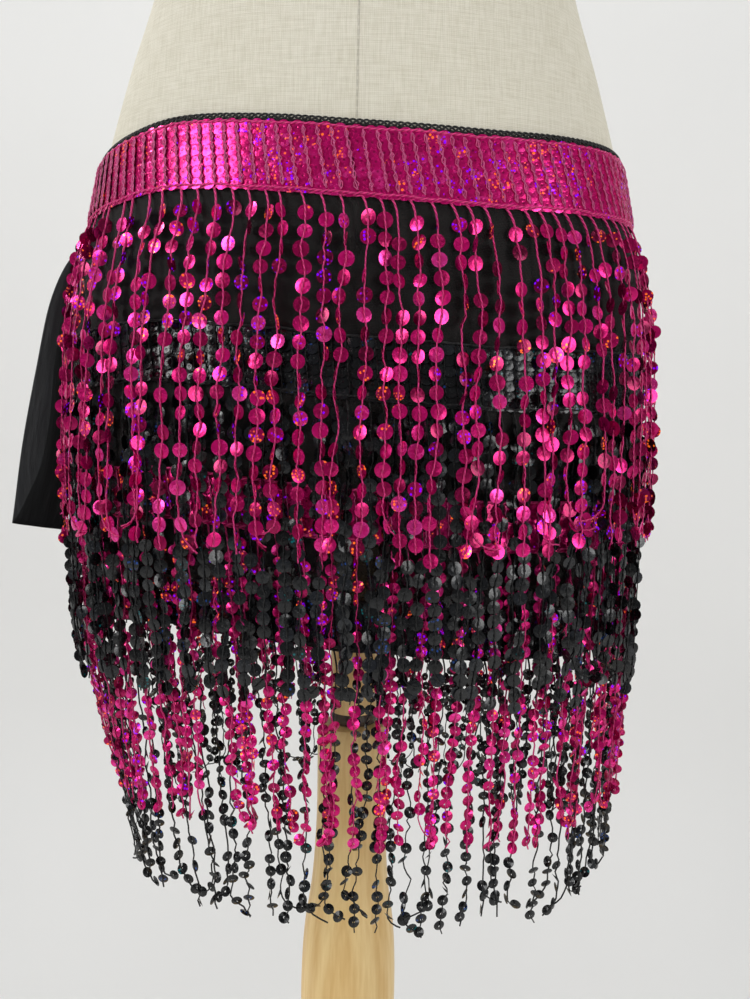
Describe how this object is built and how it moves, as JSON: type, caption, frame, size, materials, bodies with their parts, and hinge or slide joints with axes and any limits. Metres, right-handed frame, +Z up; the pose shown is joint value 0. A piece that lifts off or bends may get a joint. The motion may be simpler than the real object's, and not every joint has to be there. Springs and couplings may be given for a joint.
{
  "type": "belly dance fringe skirt on dress form",
  "caption": "Belly dance hip skirt with sequin bands and tiers of sequin fringe, tied at the left hip of a limbless linen dress form on a turned wooden stand.",
  "frame": {"origin": "centre of the stand's flat underside, on the surface it stands on", "axes": "+Z up along the pole, front of the skirt towards -Y, the tied hip towards -X"},
  "size_m": [0.4158, 0.38, 1.54],
  "materials": {
    "linen": "warm off-white linen, stretched smooth",
    "wood": "pale turned pine, satin varnish",
    "dark_ring": "dark stained joint ring",
    "sheer_cloth": "sheer black woven cloth",
    "edging": "black crocheted trim",
    "satin": "black satin with a soft sheen",
    "pink_sequin": "deep pink holographic sequins on pink thread",
    "black_sequin": "glossy black sequins on black thread"
  },
  "bodies": {
    "root": {"form_torso": "linen", "form_neck_cap": "wood", "form_pole": "wood", "form_pole_ring": "dark_ring", "form_foot": "wood", "skirt_panel": "sheer_cloth", "waist_edging": "edging", "band_1_pink": "pink_sequin", "band_2_black": "black_sequin", "band_3_pink": "pink_sequin", "band_4_black": "black_sequin", "fringe_1_pink": "pink_sequin", "fringe_2_black": "black_sequin", "fringe_3_pink": "pink_sequin", "fringe_4_black": "black_sequin", "tie_knot": "satin", "tie_strap_front": "satin", "tie_strap_back": "satin", "tie_tail_front": "satin", "tie_tail_back": "satin"}
  },
  "joints": []
}
